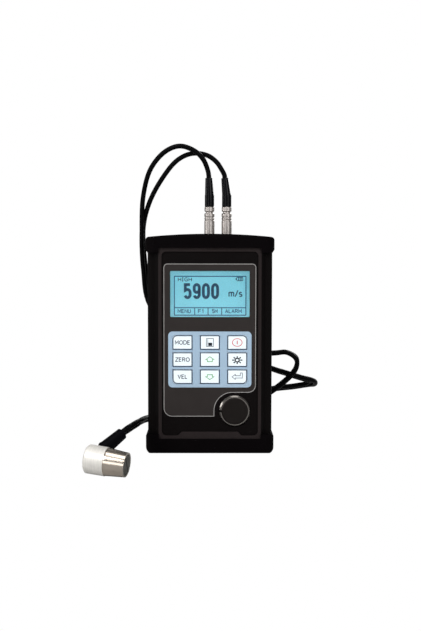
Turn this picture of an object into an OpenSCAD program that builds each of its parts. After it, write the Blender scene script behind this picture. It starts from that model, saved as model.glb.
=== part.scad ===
// Handheld ultrasonic thickness gauge standing on its lower bumper, with its twin lead and dual probe.
// Millimetres. +Z up, the display faces -Y, the origin is the middle of the lower bumper's underside.

/* [Case] */
// Height over both bumpers
overall_h = 132; // [128:1:140]
// Width of the extruded case
case_w = 74.8; // [73:0.2:80]
// Depth of the extruded case
case_d = 29.4; // [29:0.2:36]
// Wall of the extrusion
case_wall = 2; // [1.6:0.1:2.4]
// Radius of the rear long edges
rear_r = 6; // [4:0.5:7]
// Width of the shoulders beside the front
shoulder_w = 4.2; // [3:0.1:5]
// Radius of the front shoulders
shoulder_r = 2.2; // [1:0.1:2.6]
// Depth of the shoulders behind the front face
shoulder_drop = 2.8; // [2.4:0.1:4]
// Width of the bevel beside the front face
bevel_w = 2.6; // [2:0.1:3]
// Thickness of the plates that close the ends
end_plate_t = 2; // [1.6:0.1:3]

/* [Bumpers] */
// Thickness of the bumpers round the case
bumper_t = 1.3; // [1:0.1:3]
// Thickness of the lower bumper's floor
floor_t = 2; // [1.5:0.1:4]
// Thickness of the upper bumper's roof at its sides
roof_t = 2; // [1.5:0.1:4]
// Rise of the upper bumper's crown
crown_rise = 1.8; // [0.8:0.1:2.6]
// Height of the lower bumper's front lip
low_lip = 8.9; // [7:0.1:10]
// Height of the upper bumper's front lip
high_lip = 8.4; // [7.6:0.1:10]
// Extra height of the lips at the sides and back
side_lip = 2.8; // [1:0.1:4]
// Chamfer at the edge of the side lips
lip_chamfer = 1.1; // [0.4:0.1:1.3]
// Corner radius of the lower bumper
low_corner_r = 3.6; // [2:0.1:4]
// Corner radius of the upper bumper
high_corner_r = 2.4; // [1.5:0.1:3]

/* [Front panel] */
// Depth of the recess in the front face
recess_depth = 1.3; // [1:0.1:1.6]
// Border of the front face beside the recess
recess_side = 1.7; // [1:0.1:3]
// Border of the front face above the recess
recess_head = 2.2; // [1:0.1:3]
// Border of the front face below the recess
recess_foot = 2; // [1:0.1:3]
// Corner radius of the recess
recess_r = 2.7; // [1:0.1:4]
// Height of the step in the lower edge of the recess
step_h = 2.3; // [1:0.1:3]
// Width of the step at its top
step_w = 33.6; // [28:0.2:38]
// Thickness of the printed overlay
overlay_t = 0.6; // [0.4:0.1:0.8]
// Share of the panel's free height above the display
share_head = 0.42; // [0.2:0.01:0.5]
// Share of the panel's free height between display and keypad
share_disp = 0.31; // [0.2:0.01:0.4]
// Share of the panel's free height between keypad and test block
share_pad = 0.17; // [0.05:0.01:0.3]

/* [Display] */
// Width of the display opening
disp_w = 47.6; // [44:0.2:48]
// Height of the display opening
disp_h = 27.6; // [25:0.2:28]
// Thickness of the clear window
window_t = 1; // [0.8:0.1:1.2]
// Thickness of the display glass
glass_t = 2.2; // [1.6:0.1:2.4]
// Thickness of the backlight
light_t = 2.4; // [2:0.1:2.6]

/* [Keypad] */
// Border of the keypad panel beside the keys
pad_side = 2.7; // [1:0.1:4]
// Border of the keypad panel above and below the keys
pad_end = 2.3; // [1:0.1:4]
// Thickness of the keypad panel
pad_t = 0.8; // [0.6:0.1:1]
// Corner radius of the keypad panel
pad_r = 2.6; // [1:0.1:4]
// Distance between columns of keys
key_pitch_x = 16.4; // [15.6:0.1:17]
// Distance between rows of keys
key_pitch_z = 10.3; // [10.2:0.1:10.6]
// Width of a key
key_w = 11.7; // [10.5:0.1:12]
// Height of a key
key_h = 8.5; // [7.5:0.1:8.7]
// Radius of the rounded corner of each corner key
key_corner_r = 2.4; // [1:0.1:3.5]
// Height of a key above its panel
key_rise = 0.35; // [0.2:0.05:0.6]
// Travel of a key
key_travel = 0.4; // [0.2:0.05:0.45]

/* [Test block] */
// Distance of the test block from the middle
block_x = 15; // [13.5:0.1:15.5]
// Radius of the test block's face
block_r = 8; // [7:0.1:8.3]
// Thickness of the test block
block_t = 4; // [3.6:0.1:4.4]
// Height of the test block above the recess floor
block_rise = 1.7; // [1.4:0.1:2.2]
// Width of the split ring round the block
ring_w = 1.65; // [1.3:0.05:2.2]
// Height of the split ring above the recess floor
ring_rise = 1.3; // [0.8:0.1:1.4]
// Gap in the split ring
ring_gap = 1.3; // [0.8:0.1:2]

/* [Battery bay] */
// Radius of a battery cell
cell_r = 7.25; // [7:0.05:7.25]
// Length of a battery cell
cell_l = 50.5; // [49.5:0.1:50.5]
// Distance between the lower bumper and the battery cover
bay_foot = 1.8; // [1:0.1:6]
// Wall of the battery tray
tray_wall = 1.2; // [1:0.1:1.6]
// Thickness of the battery cover
cover_t = 1; // [0.8:0.1:1.2]

/* [Plugs] */
// Place of the first plug from the middle
plug_x = -0.3; // [-6:0.1:6]
// Distance between the plugs
plug_pitch = 10.5; // [9.8:0.1:14]
// Place of the plugs behind the middle of the case
plug_y = 2; // [0:0.1:3]
// Radius of a plug's release sleeve
sleeve_r = 3.1; // [3:0.05:3.3]
// Length of a plug's release sleeve
sleeve_l = 14.6; // [12:0.1:16]
// Travel of a release sleeve
sleeve_travel = 0.7; // [0.5:0.1:1.2]
// Height of a plug's collet nut
nut_h = 3.1; // [2.4:0.1:4]
// Length of a plug's bend boot
boot_l = 17.4; // [14:0.1:20]
// Radius of a bend boot at the nut
boot_r = 2.85; // [2.6:0.05:2.9]

/* [Probe and lead] */
// Diameter of one cable of the twin lead
cable_d = 3; // [2.4:0.1:3.1]
// Radius of the probe's rear housing
probe_r = 7.9; // [7.6:0.1:8.6]
// Length of the probe's rear housing
probe_l = 11.3; // [10:0.1:14]
// Radius of the nose at its contact face
nose_tip_r = 6.7; // [6:0.1:6.8]
// Length of the nose
nose_l = 11.5; // [10:0.1:13]
// Length of the probe's cord boot
probe_boot_l = 16.6; // [15:0.1:20]
// Radius of the probe's cord boot at the housing
probe_boot_r = 4; // [3.6:0.1:4.3]

/* [Hidden] */
$fn = 64;
fit = 0.05;                                   // seat of a piece that does not move
play = 0.2;                                   // room round a piece that moves
over = 1;                                     // length a cutter runs past the face it cuts
front_y = -case_d/2;                          // plane of the front face
back_y = case_d/2;                            // plane of the back
shoulder_y = front_y + shoulder_drop;         // plane of the shoulders
seat_y = front_y + recess_depth;              // floor of the recess
wall_y = seat_y + case_wall;                  // inside of the front wall
back_in = back_y - case_wall;                 // inside of the back wall
inner_w = case_w - 2*case_wall;               // width of the hollow
frame_w = case_w - 2*(shoulder_w + bevel_w);  // width of the flat front face
pocket_wall = case_wall + play;               // wall behind the bevels
pocket_w = frame_w + 2*(bevel_w - pocket_wall); // width of the hollow behind the front wall
bumper_w = case_w + 2*bumper_t;
bumper_d = case_d + 2*bumper_t;
tube_z0 = floor_t + end_plate_t;              // lower end of the extrusion
roof_z = overall_h - crown_rise;              // edge of the upper bumper's crown
plate_top = roof_z - roof_t;                  // outside of the upper end plate
tube_z1 = plate_top - end_plate_t;            // upper end of the extrusion
low_side = low_lip + side_lip;                // edge of the lower bumper's side lips
high_front = overall_h - high_lip;            // edge of the upper bumper's front lip
high_side = high_front - side_lip;            // edge of the upper bumper's side lips
crown_half = bumper_w/2 - high_corner_r;      // half width of the crown
crown_r = (crown_half*crown_half + crown_rise*crown_rise)/(2*crown_rise);
plan_front_r = 6;                             // plan radius of the bumpers' front corners
plan_back_r = 7;                              // plan radius of the bumpers' back corners
edge_r = 2;                                   // rounding of the bumpers' front and back edges

recess_w = frame_w - 2*recess_side;
recess_top = high_front - recess_head;        // upper edge of the recess
recess_bottom = low_lip + recess_foot;        // lower edge of the recess
recess_h = recess_top - recess_bottom;
recess_z = (recess_top + recess_bottom)/2;
pad_w = 2*key_pitch_x + key_w + 2*pad_side;   // keypad panel
pad_h = 2*key_pitch_z + key_h + 2*pad_end;
ring_r = block_r + ring_w;                    // outside of the split ring
// display, keypad and test block share the panel's height, what is left over lies between them
free_h = recess_h - step_h - disp_h - pad_h - 2*ring_r;
disp_z = recess_top - share_head*free_h - disp_h/2;
pad_z = disp_z - disp_h/2 - share_disp*free_h - pad_h/2;
block_z = pad_z - pad_h/2 - share_pad*free_h - ring_r;
disp_r = 0.6;                                 // corner radius of the display opening
window_lap = 1;                               // lap of the window under the overlay
glass_lap = 3;                                // border of the display glass round its opening
glass_w = disp_w + 2*glass_lap;
glass_h = disp_h + 2*glass_lap;
board_y = wall_y + glass_t + light_t;         // front of the main board
board_t = 1.6;
board_back = board_y + board_t;
board_end = 2;                                // room between the main board and the end plates
rail_t = 1.2;                                 // thickness of a board rail
rail_w = 2.4;                                 // depth of a board rail
rail_root = 1;                                // part of a rail inside the wall
board_play = 0.1;                             // room of the board between its rails

port_r = 2.6;                                 // radius of a screw port
port_hole_r = 1.15;
port_lap = 0.5;                               // lap of a screw port into the rail beside it
port_front_y = board_back + board_play + rail_t + port_r - port_lap;
port_back_y = back_in - port_r - port_lap;
port_x = inner_w/2 - port_r + port_lap;
ports = [for (x = [-port_x, port_x]) for (y = [port_front_y, port_back_y]) [x, y]];
screw_r = 1.1;                                // shank of an end screw
screw_head_r = 2.2;
screw_head_h = 1.1;
screw_l = 7;

key_gap = 0.2;                                // room round a key in its window
flange_w = key_w + 1.2;                       // flange that keeps a key behind the panel
flange_h = (key_h + key_pitch_z)/2;
flange_t = 0.6;
slot_gap = 0.25;                              // room round a flange in its slot
post_r = 1.6;                                 // post of a key over its dome
post_l = 0.4;
dome_r = 3;
dome_gap = 0.1;                               // room over a dome at the end of travel
mat_t = 0.8;                                  // silicone dome mat
pad_board_t = 1.2;
pad_board_back = wall_y + mat_t + pad_board_t;
dome_top = seat_y + flange_t + post_l + key_travel + dome_gap;
spacer_r = 1.8;
mat_side = 4;                                 // border of the mat beside the flanges, for the spacers
mat_end = 1.5;                                // border of the mat above and below the flanges
mat_w = 2*key_pitch_x + flange_w + 2*mat_side;
mat_h = 2*key_pitch_z + flange_h + 2*mat_end;

spigot_step = 2;                              // seat of the block on the recess floor
spigot_r = block_r - spigot_step;             // part of the block that sits in the wall
block_chamfer = 0.5;

cell_pitch = 2*cell_r + 0.5;                  // distance between the cells
contact_l = 2.6;                              // room for a contact at each end of a cell
contact_t = 0.4;
tray_w = 2*cell_pitch + 1;                    // inside of the tray
tray_l = cell_l + 2*contact_l;
tray_gap = 0.3;                               // room between the tray and the main board
tray_y = board_back + tray_gap;               // front of the tray's floor
tray_floor = 1;
cell_y = tray_y + tray_floor + fit + cell_r;
nub_r = 2.7;                                  // raised end of a cell
nub_h = 1.3;
tray_end = tray_l/2 + tray_wall;
boss_r = 2.8;                                 // boss for a cover screw
boss_l = 6;
boss_z = tray_end + boss_r - 0.8;
cover_lap = 1.6;                              // lap of the cover past the opening
cover_w = tray_w + 2*cover_lap;
cover_end = 3.4;                              // cover past the middle of its screws
cover_l = 2*(boss_z + cover_end);
bay_z = low_side + bay_foot + cover_l/2;      // middle of the battery bay
cover_r = 2;
cover_screw_r = 1.2;
cover_head_r = 2.2;
cover_head_h = 0.9;
cover_screw_l = case_wall + 4;                // shank of a cover screw

socket_r = 3.45;                              // barrel of a socket
socket_flange_r = 4.2;
socket_flange_h = 1.6;
socket_bore_r = 2.5;
socket_drop = 10;                             // length of a barrel below the plate
socket_nut_r = 4.9;
socket_nut_h = 2;
socket_top = plate_top + socket_flange_h;
plug_nose_l = 7;
plug_core_r = sleeve_r - 0.9;
sleeve_lift = 0.25;                           // gap between a sleeve and its socket
sleeve_z = socket_top + sleeve_lift;
nut_z = sleeve_z + sleeve_l + sleeve_travel + play;
nut_r = sleeve_r - 0.1;
turned_edge = 0.4;                            // chamfer of the turned plug pieces
grip_d = 0.25;                                // depth of a grip groove in a sleeve
grip_w = 1;                                   // width of a grip groove at its mouth
grip_pitch = 1.6;
grip_top = 2;                                 // sleeve above the upper groove
boot_z = nut_z + nut_h;
boot_wall = 0.65;
boot_tip_r = cable_d/2 + boot_wall;
boot_collar = 7;                              // straight part of a boot at the nut
boot_step = 0.1;                              // step above that part
boot_root = 1;                                // start of the tapered part inside the straight one
boot_cone = boot_l - boot_collar + boot_root; // length of the tapered part
boot_lean = [2, 6];                           // the cables bend the boots over to the left
plugs = [plug_x, plug_x + plug_pitch];
function boot_axis(i) = [-sin(boot_lean[i]), 0, cos(boot_lean[i])];
function boot_foot(i) = [plugs[i], plug_y, boot_z + boot_collar - boot_root];
function boot_end(i) = boot_foot(i) + boot_cone*boot_axis(i);

// the probe lies on the front edge of its housing and on the rim of its nose
probe_tilt = atan((probe_r - nose_tip_r)/nose_l);
probe_yaw = 14;                               // turn of the nose towards the front
probe_roll = 35;                              // climb of the boot round the housing
probe_at = [-56, -74.5, probe_r*cos(probe_tilt)];
nose_base_r = probe_r - 0.3;
nose_shoulder = 0.8;                          // short straight part of the nose at the housing
nose_wall = 0.9;
line_l = 8;                                   // length of the delay lines
barrier_t = 0.8;
probe_boot_x = -(probe_boot_r + 0.4);         // place of the boot behind the housing's front edge
probe_boot_tip_r = cable_d + 0.3;
probe_boot_sink = 1.6;                        // depth of the spot face under the boot
probe_boot_flat = probe_r - probe_boot_sink;
probe_boot_collar = 4;                        // straight part of the boot on its spot face
probe_boot_cone = probe_boot_l - probe_boot_collar + boot_root;
probe_boot_lean = 25;                         // the lead bends the boot over towards the nose
probe_chamfer = 0.7;
// the probe's axes: a along the nose, b along the boot's straight part, c along its bent part
axis_a = [cos(probe_tilt)*cos(probe_yaw), -cos(probe_tilt)*sin(probe_yaw), -sin(probe_tilt)];
axis_n = [sin(probe_yaw), cos(probe_yaw), 0];
axis_w = cross(axis_a, axis_n);
axis_b = cos(probe_roll)*axis_n + sin(probe_roll)*axis_w;
axis_c = cos(probe_boot_lean)*axis_b + sin(probe_boot_lean)*axis_a;
probe_boot_foot = probe_boot_flat + probe_boot_collar - boot_root;
probe_boot_end = probe_at + probe_boot_x*axis_a + probe_boot_foot*axis_b + probe_boot_cone*axis_c;

// the lead: two cables from the plugs, side by side from the first point of twin_route on
cable_sides = 8;
cable_step = cable_d + 0.2;                   // distance between the two cables
lead_in = 3;                                  // straight part of a cable at a boot
lead_left = [[-1, 2, 171], [-4, 1, 177], [-9, 0, 182], [-18, -1, 185], [-27, 1, 182], [-36, 4, 172],
    [-41, 9, 156]];
lead_right = [[8, 2, 171], [4, 3, 176], [-2, 4, 180], [-11, 4, 181], [-20, 5, 177], [-30, 7, 165],
    [-38, 11, 150]];
twin_route = [[-42, 15, 134], [-41, 19, 110], [-37, 20, 88], [-10, 20, 58], [41, 22, 57], [50, 22, 58],
    [56, 23, 53], [54, 24, 45], [32, 26, 27], [0, 30, 14], [-22, 37, 5], [-30, 47, 4], [-25, 57, 4],
    [-10, 62, 8], [12, 54, 30], [30, 37, 47], [46, 31, 44], [59, 31, 40], [66, 33, 38], [68, 39, 36],
    [65, 45, 34], [56, 48, 32], [40, 47, 30], [0, 40, 16], [-31, 33, 15], [-39, 22, 15], [-43, 5, 16],
    [-43, -17, 18], [-43, -37, 21], [-45, -50, 21.5]];
twin_points = concat(twin_route, [probe_boot_end + lead_in*axis_c, probe_boot_end]);
twin_turn = -1;                               // slow turn of the pair from point to point
twin_side = [-0.6, -0.8, 0];                  // first direction from the right cable to the left one

function unit(v) = v/norm(v);
function tangent(p, i) = unit(p[min(i + 1, len(p) - 1)] - p[max(i - 1, 0)]);
function square_to(n, t) = unit(n - (n*t)*t);
// a direction carried along a route and turned by w from point to point
function carried(p, n, w = 0, i = 0) = i == len(p) ? [] :
    let (t = tangent(p, i), m = square_to(n, t), next = cos(w)*m + sin(w)*cross(t, m))
        concat([m], carried(p, next, w, i + 1));
// a sideways step at point i, longer in the plane of the bend so that the two cables stay parallel
function bend(p, i) = i == 0 || i == len(p) - 1 ? [0, 0, 0] : unit(p[i + 1] - p[i]) - unit(p[i] - p[i - 1]);
function mitred(n, v) = norm(v) < 0.01 ? n : n + (n*unit(v))*(1/sqrt(1 - v*v/4) - 1)*unit(v);
twin_normals = carried(twin_points, twin_side, twin_turn);
function twin(s) = [for (i = [0:len(twin_points) - 1])
    twin_points[i] + s*cable_step/2*mitred(twin_normals[i], bend(twin_points, i))];
function lead(i, own, s) = concat([boot_end(i), boot_end(i) + lead_in*boot_axis(i)], own, twin(s));

// 2D: rectangle with round corners about its middle
module round_rect(w, h, r) {
    square([w - 2*r, h], center = true);
    square([w, h - 2*r], center = true);
    for (x = [-1, 1], y = [-1, 1]) translate([x*(w/2 - r), y*(h/2 - r)]) circle(r);
}

// 2D: plan from y0 to y1 with one radius at the front corners and one at the back
module plan_rect(w, y0, y1, r0, r1) {
    translate([-w/2, y0 + r0]) square([w, y1 - y0 - r0 - r1]);
    translate([-w/2 + r0, y0]) square([w - 2*r0, 2*r0]);
    translate([-w/2 + r1, y1 - 2*r1]) square([w - 2*r1, 2*r1]);
    for (x = [-1, 1]) {
        translate([x*(w/2 - r0), y0 + r0]) circle(r0);
        translate([x*(w/2 - r1), y1 - r1]) circle(r1);
    }
}

// front view extruded from y towards the front
module from_front(y, t) {
    translate([0, y, 0]) rotate([90, 0, 0]) linear_extrude(t) children();
}

// side view extruded over the whole width
module from_side(w) {
    translate([-w/2, 0, 0]) rotate([90, 0, 90]) linear_extrude(w) children();
}

// 2D: section of the case grown by g
module case_outline(g) {
    half = frame_w/2 + g;
    plan_rect(case_w + 2*g, shoulder_y - g, back_y + g, shoulder_r, rear_r);
    polygon([[-half, front_y - g], [half, front_y - g], [half + bevel_w, shoulder_y - g], [half + bevel_w, 0],
        [-half - bevel_w, 0], [-half - bevel_w, shoulder_y - g]]);
}

// 2D: hollow of the case
module case_hollow() {
    plan_rect(inner_w, shoulder_y + case_wall, back_in, shoulder_r/2, rear_r - case_wall);
    translate([-pocket_w/2, wall_y]) square([pocket_w, shoulder_y - wall_y + 2*case_wall]);
}

// 2D: board rails and screw ports inside the section
module case_rails() {
    for (x = [-1, 1], y = [board_y - board_play - rail_t, board_back + board_play])
        translate([x*(inner_w/2 - rail_w/2 + rail_root/2), y + rail_t/2])
            square([rail_w + rail_root, rail_t], center = true);
    for (p = ports) translate(p) circle(port_r);
}

// 2D: recess in the front face grown by g, with the step in its lower edge
module recess_outline(g) {
    slope = step_h + over;
    difference() {
        translate([0, recess_z]) round_rect(recess_w + 2*g, recess_h + 2*g, recess_r);
        translate([0, recess_bottom]) polygon([[-step_w/2 - slope + g, -over], [-step_w/2 + g, step_h - g],
            [step_w/2 - g, step_h - g], [step_w/2 + slope - g, -over]]);
    }
}

// 2D: face of the key in column cx and row cz, grown by g
module key_face(cx, cz, g) {
    r = key_corner_r;
    translate([cx*key_pitch_x, pad_z + cz*key_pitch_z]) difference() {
        square([key_w + 2*g, key_h + 2*g], center = true);
        if (cx*cz != 0) translate([cx*(key_w/2 + g - r), cz*(key_h/2 + g - r)]) difference() {
            translate([cx*r/2, cz*r/2]) square(r + 2*fit, center = true);
            circle(r);
        }
    }
}

module case_body() color("#1c1b1e") difference() {
    translate([0, 0, tube_z0]) linear_extrude(tube_z1 - tube_z0) difference() {
        union() {
            difference() {
                case_outline(0);
                case_hollow();
            }
            case_rails();
        }
        for (p = ports) translate(p) circle(port_hole_r);
    }
    from_front(seat_y, recess_depth + over) recess_outline(0);
    translate([0, 0, disp_z]) {
        from_front(wall_y + over, case_wall + 2*over) round_rect(disp_w, disp_h, disp_r);
        from_front(seat_y + window_t, window_t + over)
            round_rect(disp_w + 2*window_lap, disp_h + 2*window_lap, disp_r);
    }
    for (x = [-1:1]) translate([x*key_pitch_x, 0, pad_z]) from_front(wall_y + over, case_wall + 2*over)
        square([flange_w + 2*slot_gap, 2*key_pitch_z + flange_h + 2*slot_gap], center = true);
    translate([block_x, 0, block_z]) from_front(wall_y + over, case_wall + 2*over) circle(spigot_r + fit);
    translate([0, 0, bay_z]) {
        from_front(back_y + over, case_wall + 2*over) square([tray_w, tray_l], center = true);
        from_front(back_y + over, cover_t + over) round_rect(cover_w + 2*fit, cover_l + 2*fit, cover_r);
        for (z = [-boss_z, boss_z]) translate([0, 0, z])
            from_front(back_y + over, case_wall + 2*over) circle(cover_screw_r + fit);
    }
}

module end_plate_blank() {
    difference() {
        linear_extrude(end_plate_t) case_outline(0);
        for (p = ports) translate(p) {
            translate([0, 0, -over]) cylinder(r = screw_r + fit, h = end_plate_t + 2*over);
            translate([0, 0, end_plate_t - screw_head_h])
                cylinder(r1 = screw_r + fit, r2 = screw_head_r + fit, h = screw_head_h);
        }
    }
}

module top_plate() color("#3a3a3d") difference() {
    translate([0, 0, tube_z1]) end_plate_blank();
    for (x = plugs) translate([x, plug_y, tube_z1 - over])
        cylinder(r = socket_r + fit, h = end_plate_t + 2*over);
}

module bottom_plate() color("#3a3a3d") translate([0, 0, tube_z0]) mirror([0, 0, 1]) end_plate_blank();

module end_screw() {
    translate([0, 0, -screw_head_h]) cylinder(r1 = screw_r, r2 = screw_head_r, h = screw_head_h);
    translate([0, 0, -screw_l]) cylinder(r = screw_r, h = screw_l - screw_head_h);
}

module end_screws() color("#9a9a9c") for (p = ports) {
    translate([p[0], p[1], plate_top]) end_screw();
    translate([p[0], p[1], floor_t]) mirror([0, 0, 1]) end_screw();
}

// bumper solid between two heights: plan, front view and side view cut through one another
module bumper_blank(z0, z1) {
    intersection() {
        translate([0, 0, z0]) linear_extrude(z1 - z0)
            plan_rect(bumper_w, -bumper_d/2, bumper_d/2, plan_front_r, plan_back_r);
        from_front(bumper_d/2, bumper_d) children(0);
        from_side(bumper_w) children(1);
    }
}

// 2D: corner triangles cut from the lip edge at height z, s = 1 for an upper edge
module lip_chamfers(z, s) {
    for (x = [-1, 1]) translate([x*bumper_w/2, z])
        polygon([[x*over, s*over], [-x*(lip_chamfer + over), s*over], [x*over, -s*(2*lip_chamfer + over)]]);
}

module lip_notch(z0, z1) {
    translate([-frame_w/2, front_y - 2*over - (bumper_d - case_d)/2, z0])
        cube([frame_w, 3*over + (bumper_d - case_d)/2, z1 - z0]);
}

module bottom_bumper() color("#0b0a0b") difference() {
    bumper_blank(0, low_side) {
        difference() {
            translate([0, low_side]) round_rect(bumper_w, 2*low_side, low_corner_r);
            lip_chamfers(low_side, 1);
        }
        translate([0, low_side]) round_rect(bumper_d, 2*low_side, edge_r);
    }
    translate([0, 0, floor_t]) linear_extrude(low_side) case_outline(fit);
    lip_notch(low_lip, low_side + over);
}

module top_bumper() color("#0b0a0b") difference() {
    bumper_blank(high_side, overall_h) {
        difference() {
            union() {
                translate([0, high_side]) round_rect(bumper_w, 2*(roof_z - high_side), high_corner_r);
                intersection() {
                    translate([0, overall_h - crown_r]) circle(crown_r, $fn = 360);
                    translate([-crown_half, high_front]) square([2*crown_half, overall_h - high_front]);
                }
            }
            lip_chamfers(high_side, -1);
        }
        translate([0, high_side]) round_rect(bumper_d, 2*(overall_h - high_side), edge_r);
    }
    translate([0, 0, high_side - over]) linear_extrude(plate_top - high_side + over) case_outline(fit);
    lip_notch(high_side - over, high_front);
    for (x = plugs) translate([x, plug_y, high_side]) cylinder(r = socket_flange_r + play, h = overall_h);
}

module front_overlay() color("#2c2a2b") difference() {
    from_front(seat_y, overlay_t) recess_outline(-fit);
    translate([0, 0, disp_z]) from_front(seat_y + over, overlay_t + 2*over)
        round_rect(disp_w, disp_h, disp_r);
    translate([0, 0, pad_z]) from_front(seat_y + over, overlay_t + 2*over)
        round_rect(pad_w + 2*fit, pad_h + 2*fit, pad_r);
    translate([block_x, 0, block_z]) from_front(seat_y + over, overlay_t + 2*over) circle(ring_r + fit);
}

module display_window() color("#d8eef4", 0.4) translate([0, 0, disp_z])
    from_front(seat_y + window_t, window_t)
        round_rect(disp_w + 2*(window_lap - fit), disp_h + 2*(window_lap - fit), disp_r);

module display_glass() color("#7ac8de") translate([0, 0, disp_z]) from_front(wall_y + glass_t, glass_t)
    square([glass_w, glass_h], center = true);

module backlight() color("#e6eef0") translate([0, 0, disp_z]) from_front(board_y, light_t)
    square([glass_w, glass_h], center = true);

module keypad_panel() color("#a0b9dc") difference() {
    translate([0, 0, pad_z]) from_front(seat_y, pad_t) round_rect(pad_w, pad_h, pad_r);
    for (x = [-1:1], z = [-1:1]) from_front(seat_y + over, pad_t + 2*over) key_face(x, z, key_gap);
}

// key in column cx and row cz: cap through the panel, flange behind it, post over the dome
module key(cx, cz) {
    from_front(seat_y, pad_t + key_rise) key_face(cx, cz, 0);
    translate([cx*key_pitch_x, 0, pad_z + cz*key_pitch_z]) {
        from_front(seat_y + flange_t, flange_t) square([flange_w, flange_h], center = true);
        from_front(seat_y + flange_t + post_l, post_l) circle(post_r);
    }
}

module key_mode() color("#f5f8fc") key(-1, 1);
module key_save() color("#f5f8fc") key(0, 1);
module key_power() color("#f5f8fc") key(1, 1);
module key_zero() color("#f5f8fc") key(-1, 0);
module key_up() color("#f5f8fc") key(0, 0);
module key_light() color("#f5f8fc") key(1, 0);
module key_velocity() color("#f5f8fc") key(-1, -1);
module key_down() color("#f5f8fc") key(0, -1);
module key_enter() color("#f5f8fc") key(1, -1);

module dome_mat() color("#8c8f94") {
    translate([0, 0, pad_z]) from_front(wall_y + mat_t, mat_t) square([mat_w, mat_h], center = true);
    for (x = [-1:1], z = [-1:1]) translate([x*key_pitch_x, wall_y, pad_z + z*key_pitch_z])
        rotate([90, 0, 0]) cylinder(r1 = dome_r, r2 = dome_r/2, h = wall_y - dome_top);
}

module keypad_board() color("#2f6b3f") translate([0, 0, pad_z]) from_front(pad_board_back, pad_board_t)
    square([mat_w, mat_h], center = true);

module board_spacers() color("#e8e4d8") for (x = [-1, 1], z = [-1, 1])
    translate([x*(mat_w/2 - 2*spacer_r), board_y, pad_z + z*(mat_h/2 - 2*spacer_r)])
        rotate([90, 0, 0]) cylinder(r = spacer_r, h = board_y - pad_board_back);

module main_board() color("#2f6b3f") translate([-inner_w/2 + board_play, board_y, tube_z0 + board_end])
    cube([inner_w - 2*board_play, board_t, tube_z1 - tube_z0 - 2*board_end]);

// turned about the axis of the test block, +Z of the profile towards the front
module at_block() {
    translate([block_x, seat_y, block_z]) rotate([90, 0, 0]) children();
}

module test_block() color("#55514e") at_block() {
    rotate_extrude() polygon([[0, block_rise - block_t], [spigot_r, block_rise - block_t], [spigot_r, 0],
        [block_r, 0], [block_r, block_rise - block_chamfer], [block_r - block_chamfer, block_rise],
        [0, block_rise]]);
}

module block_ring() color("#c9c6c2") at_block() difference() {
    rotate_extrude() polygon([[block_r + fit, 0], [ring_r, 0], [ring_r, ring_rise - 2*block_chamfer],
        [ring_r - 2*block_chamfer, ring_rise], [block_r + fit, ring_rise]]);
    translate([-ring_r - over, -ring_gap/2, -over]) cube([ring_r, ring_gap, ring_rise + 2*over]);
}

module battery_tray() color("#1f1f21") translate([0, 0, bay_z]) difference() {
    union() {
        from_front(back_in, back_in - tray_y) square([tray_w + 2*tray_wall, 2*tray_end], center = true);
        for (z = [-boss_z, boss_z]) translate([0, 0, z]) from_front(back_in, boss_l) circle(boss_r);
    }
    from_front(back_in + over, back_in - tray_y - tray_floor + over) square([tray_w, tray_l], center = true);
    for (z = [-boss_z, boss_z]) translate([0, 0, z])
        from_front(back_in + over, boss_l - 1 + over) circle(cover_screw_r + fit);
}

module battery_cell() {
    translate([0, 0, -cell_l/2]) cylinder(r = cell_r, h = cell_l - nub_h);
    translate([0, 0, cell_l/2 - nub_h]) cylinder(r = nub_r, h = nub_h);
}

module battery_cells() color("#b9a24a") {
    translate([-cell_pitch/2, cell_y, bay_z]) battery_cell();
    translate([cell_pitch/2, cell_y, bay_z]) mirror([0, 0, 1]) battery_cell();
}

module battery_contacts() color("#c4c4c6") for (x = [-1, 1], z = [-1, 1])
    translate([x*cell_pitch/2, cell_y, bay_z + z*(tray_l/2 - contact_t/2 - fit)]) {
        cube([cell_r, cell_r, contact_t], center = true);
        mirror([0, 0, z > 0 ? 1 : 0]) cylinder(r1 = nub_r, r2 = nub_r/2, h = contact_l - contact_t - fit);
    }

module battery_cover() color("#1c1b1e") translate([0, 0, bay_z]) difference() {
    from_front(back_y, cover_t) round_rect(cover_w, cover_l, cover_r);
    for (z = [-boss_z, boss_z]) translate([0, 0, z])
        from_front(back_y + over, cover_t + 2*over) circle(cover_screw_r + fit);
}

module cover_screws() color("#9a9a9c") for (z = [-boss_z, boss_z]) translate([0, 0, bay_z + z]) {
    from_front(back_y + cover_head_h, cover_head_h) circle(cover_head_r);
    from_front(back_y, cover_screw_l) circle(cover_screw_r);
}

// turned pieces of plug number i stand on its axis
module on_plug(i, z) {
    translate([plugs[i], plug_y, z]) children();
}

module socket(i) {
    on_plug(i, plate_top) difference() {
        union() {
            cylinder(r = socket_flange_r, h = socket_flange_h);
            translate([0, 0, -socket_drop]) cylinder(r = socket_r, h = socket_drop);
        }
        translate([0, 0, socket_flange_h - plug_nose_l - fit])
            cylinder(r = socket_bore_r, h = plug_nose_l + over);
    }
}

module socket_left() color("#b4afac") socket(0);
module socket_right() color("#b4afac") socket(1);

module socket_nuts() color("#b4afac") for (i = [0, 1]) on_plug(i, tube_z1 - socket_nut_h) difference() {
    rotate([0, 0, 30]) cylinder(r = socket_nut_r, h = socket_nut_h, $fn = 6);
    translate([0, 0, -over]) cylinder(r = socket_r + fit, h = socket_nut_h + 2*over);
}

// plug core: nose in the socket, stem under the sleeve, collet nut on top
module plug(i) {
    nose_r = socket_bore_r - fit;
    nose_z = socket_top - plug_nose_l;
    on_plug(i, 0) rotate_extrude() polygon([[0, nose_z], [nose_r, nose_z], [nose_r, socket_top],
        [plug_core_r, socket_top], [plug_core_r, nut_z], [nut_r - turned_edge, nut_z],
        [nut_r, nut_z + turned_edge], [nut_r, boot_z - turned_edge], [nut_r - turned_edge, boot_z],
        [0, boot_z]]);
}

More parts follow.
